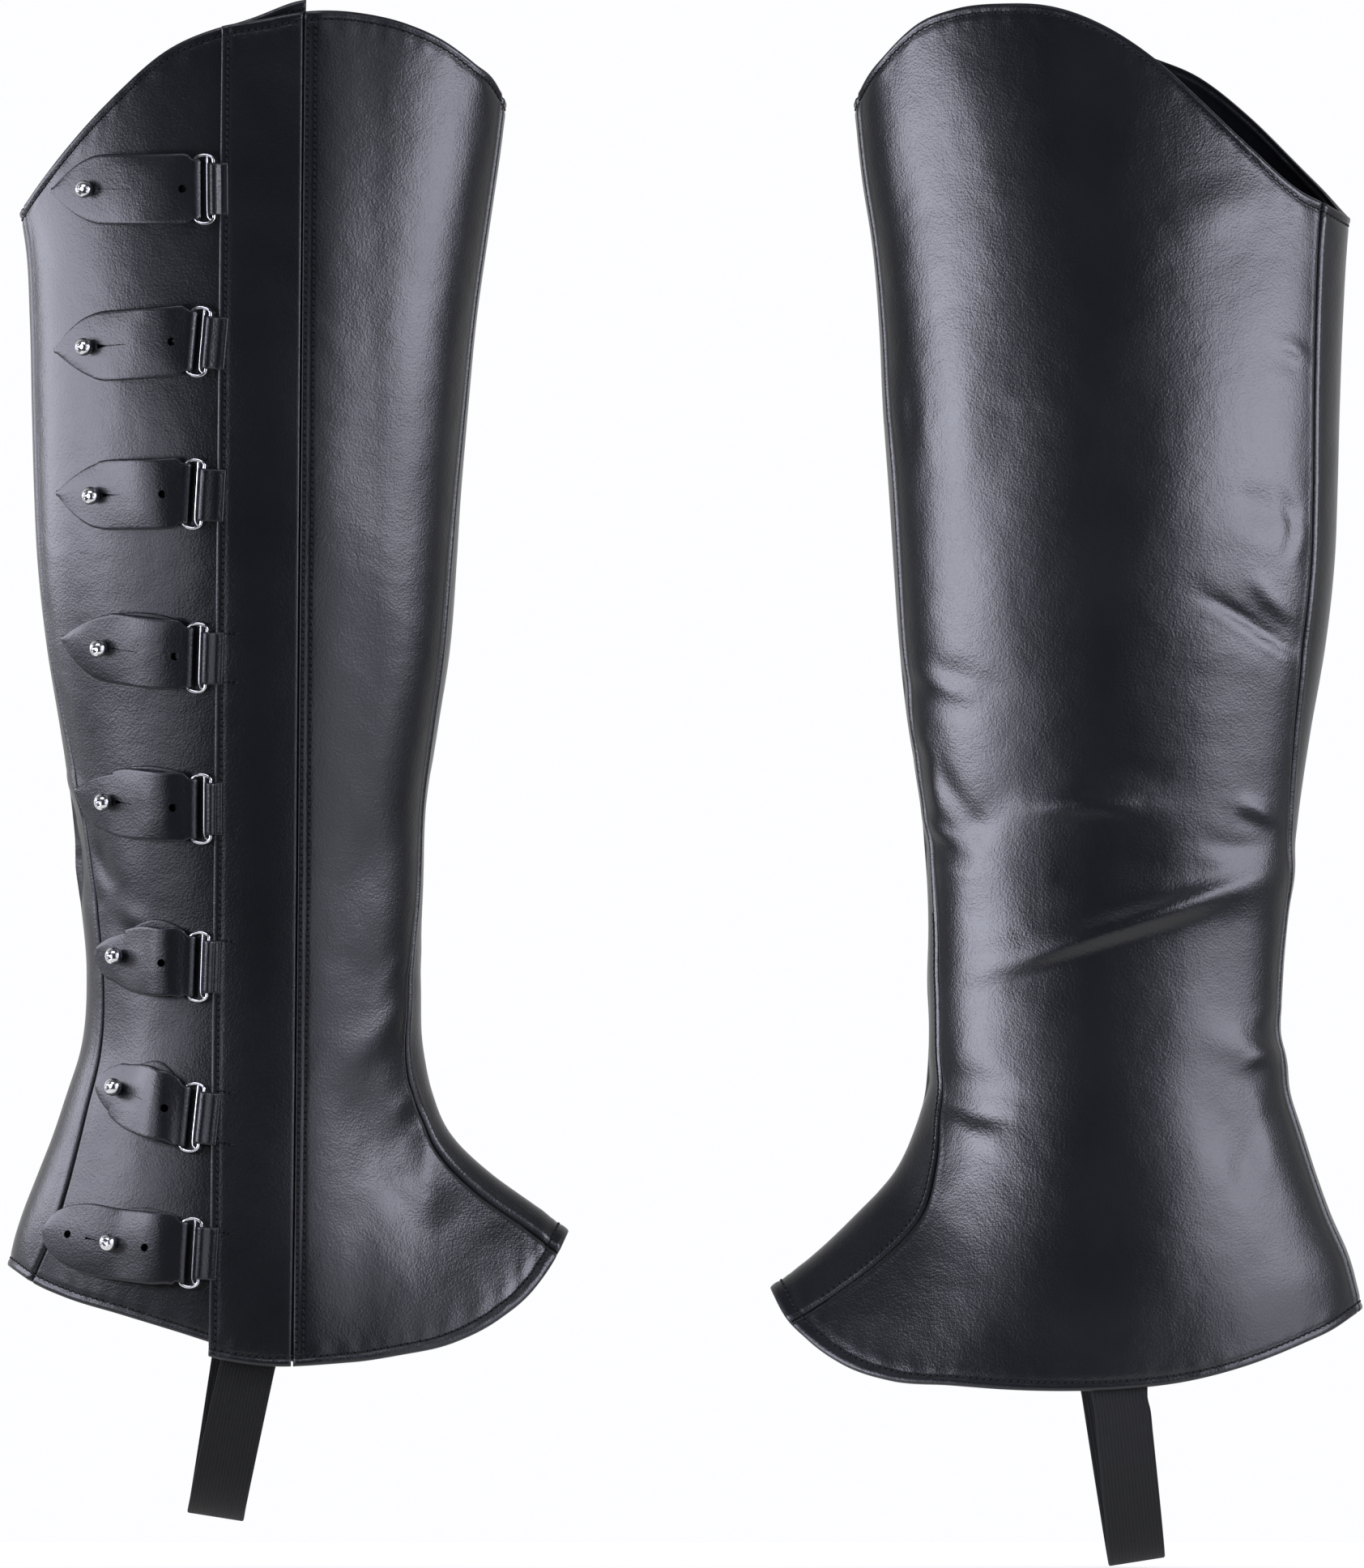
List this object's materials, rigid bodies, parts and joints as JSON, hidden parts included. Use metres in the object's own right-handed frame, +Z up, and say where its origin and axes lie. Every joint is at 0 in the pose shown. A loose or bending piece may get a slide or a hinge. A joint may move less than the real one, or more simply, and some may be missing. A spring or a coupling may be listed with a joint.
{
  "type": "pair of boot covers",
  "caption": "Pair of tall black leather-look boot covers with a flared hem over the instep, a side placket with ring straps and ball studs, and an elastic stirrup.",
  "frame": {"origin": "on the leg's axis at the middle of the calf of the cover that shows its straps to the front, where the leg holds it", "axes": "+Z up the leg; +X from that cover's heel towards its toe and on to the other cover; +Y away from the strap side of that cover, towards the back. The other cover stands half turned about Z."},
  "size_m": [0.4502, 0.0985, 0.5214],
  "materials": {
    "Black leather cloth": "smooth coated cloth with a semi-gloss face",
    "Polished nickel": "polished nickel plate on wire rings and ball studs",
    "Black elastic": "matte woven elastic webbing"
  },
  "bodies": {
    "root": {"first_inner_panel": "Black leather cloth", "first_outer_rear_panel": "Black leather cloth", "first_outer_front_panel": "Black leather cloth", "first_placket": "Black leather cloth", "first_stirrup": "Black elastic", "first_strap_1": "Black leather cloth", "first_ring_1": "Polished nickel", "first_stud_1": "Polished nickel", "first_strap_2": "Black leather cloth", "first_ring_2": "Polished nickel", "first_stud_2": "Polished nickel", "first_strap_3": "Black leather cloth", "first_ring_3": "Polished nickel", "first_stud_3": "Polished nickel", "first_strap_4": "Black leather cloth", "first_ring_4": "Polished nickel", "first_stud_4": "Polished nickel", "first_strap_5": "Black leather cloth", "first_ring_5": "Polished nickel", "first_stud_5": "Polished nickel", "first_strap_6": "Black leather cloth", "first_ring_6": "Polished nickel", "first_stud_6": "Polished nickel", "first_strap_7": "Black leather cloth", "first_ring_7": "Polished nickel", "first_stud_7": "Polished nickel", "first_strap_8": "Black leather cloth", "first_ring_8": "Polished nickel", "first_stud_8": "Polished nickel", "second_inner_panel": "Black leather cloth", "second_outer_rear_panel": "Black leather cloth", "second_outer_front_panel": "Black leather cloth", "second_placket": "Black leather cloth", "second_stirrup": "Black elastic", "second_strap_1": "Black leather cloth", "second_ring_1": "Polished nickel", "second_stud_1": "Polished nickel", "second_strap_2": "Black leather cloth", "second_ring_2": "Polished nickel", "second_stud_2": "Polished nickel", "second_strap_3": "Black leather cloth", "second_ring_3": "Polished nickel", "second_stud_3": "Polished nickel", "second_strap_4": "Black leather cloth", "second_ring_4": "Polished nickel", "second_stud_4": "Polished nickel", "second_strap_5": "Black leather cloth", "second_ring_5": "Polished nickel", "second_stud_5": "Polished nickel", "second_strap_6": "Black leather cloth", "second_ring_6": "Polished nickel", "second_stud_6": "Polished nickel", "second_strap_7": "Black leather cloth", "second_ring_7": "Polished nickel", "second_stud_7": "Polished nickel", "second_strap_8": "Black leather cloth", "second_ring_8": "Polished nickel", "second_stud_8": "Polished nickel"}
  },
  "joints": []
}
